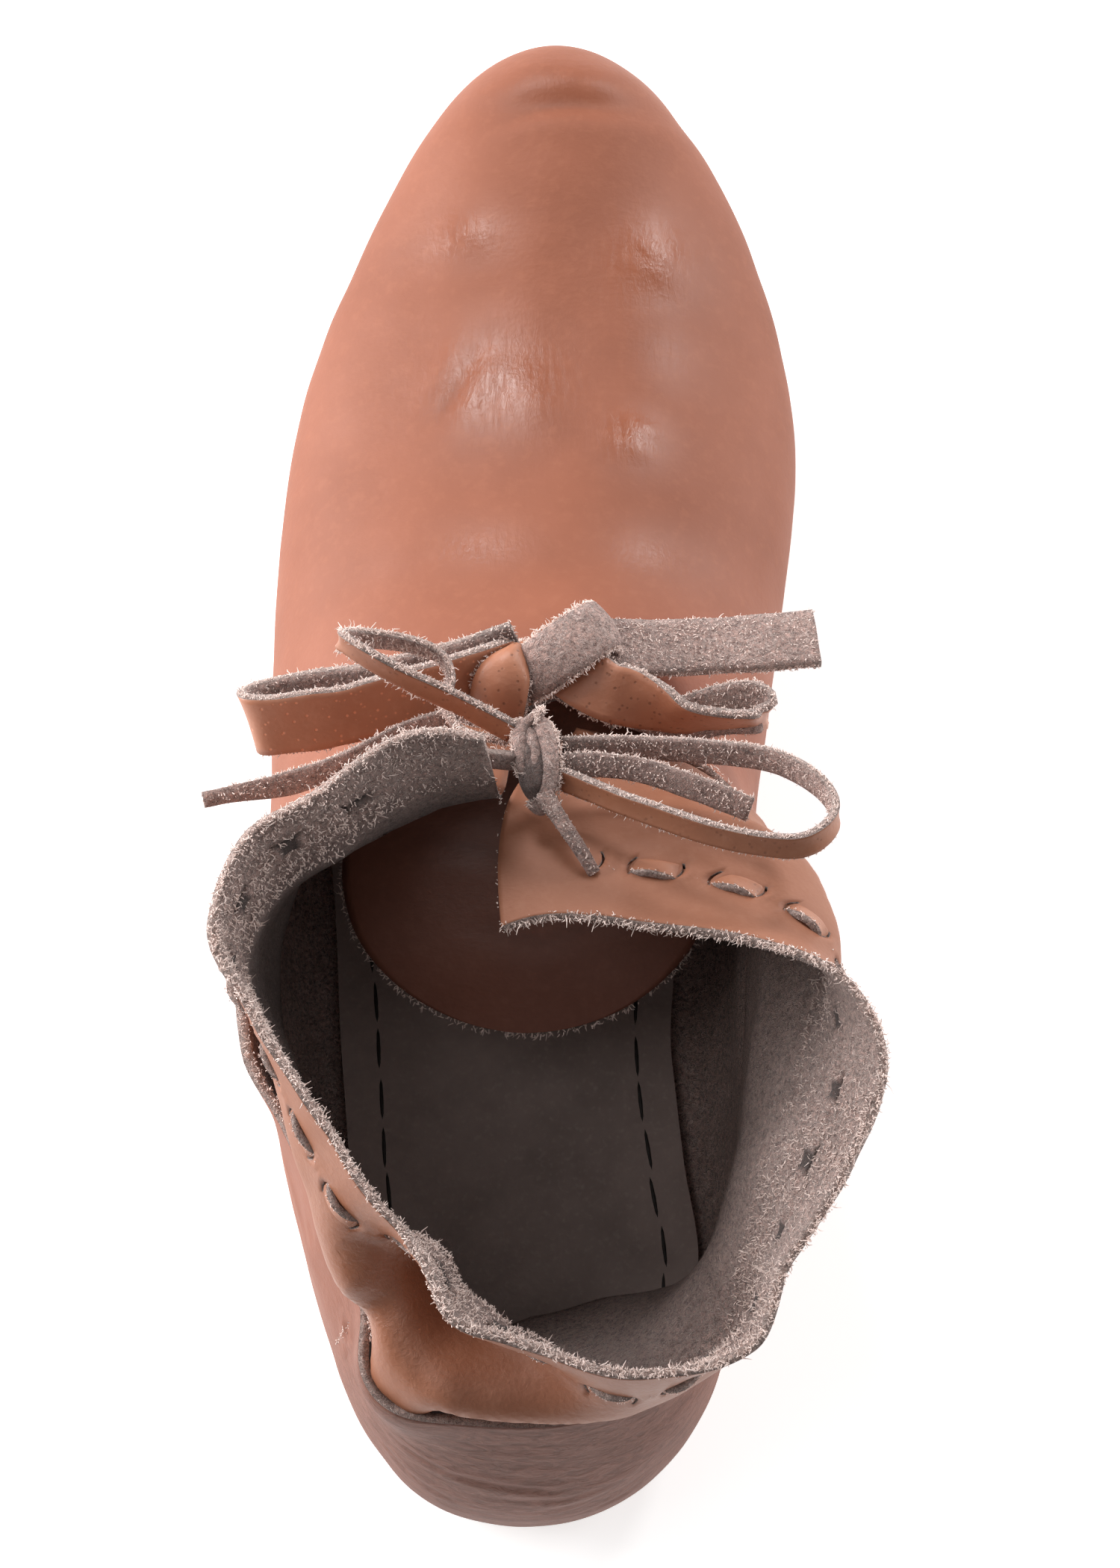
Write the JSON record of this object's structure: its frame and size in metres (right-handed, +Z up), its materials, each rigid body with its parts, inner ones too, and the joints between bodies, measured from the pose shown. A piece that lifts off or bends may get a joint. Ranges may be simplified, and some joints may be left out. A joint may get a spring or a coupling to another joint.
{
  "type": "ankle boot",
  "caption": "Soft leather ankle boot for the left foot: low round-toed shoe on a flat sole, slack ankle shaft drawn in by a woven thong, and a strap tied over the instep.",
  "frame": {"origin": "on the floor, under the middle of the shoe's length and width", "axes": "+X to the inner side of the foot, +Y to the toe, +Z up"},
  "size_m": [0.1204, 0.288, 0.113],
  "materials": {
    "grain_leather": "semi-gloss grain side",
    "shaft_leather": "grain outside, raw flesh side inside",
    "sole_leather": "matte",
    "insole_leather": "matte, worn grey-brown",
    "thong_leather": "grain on one face, raw on the other"
  },
  "bodies": {
    "root": {"outsole": "sole_leather", "insole": "insole_leather", "upper": "grain_leather", "tongue": "grain_leather", "shaft": "shaft_leather", "thong": "thong_leather", "strap": "thong_leather", "strap_bar_left": "thong_leather", "strap_bar_right": "thong_leather", "thong_knot": "thong_leather", "thong_loop_left": "thong_leather", "thong_loop_right": "thong_leather", "thong_end_left": "thong_leather", "thong_end_right": "thong_leather", "strap_knot": "thong_leather", "strap_loop_left": "thong_leather", "strap_loop_right": "thong_leather", "strap_end_right": "thong_leather"}
  },
  "joints": []
}
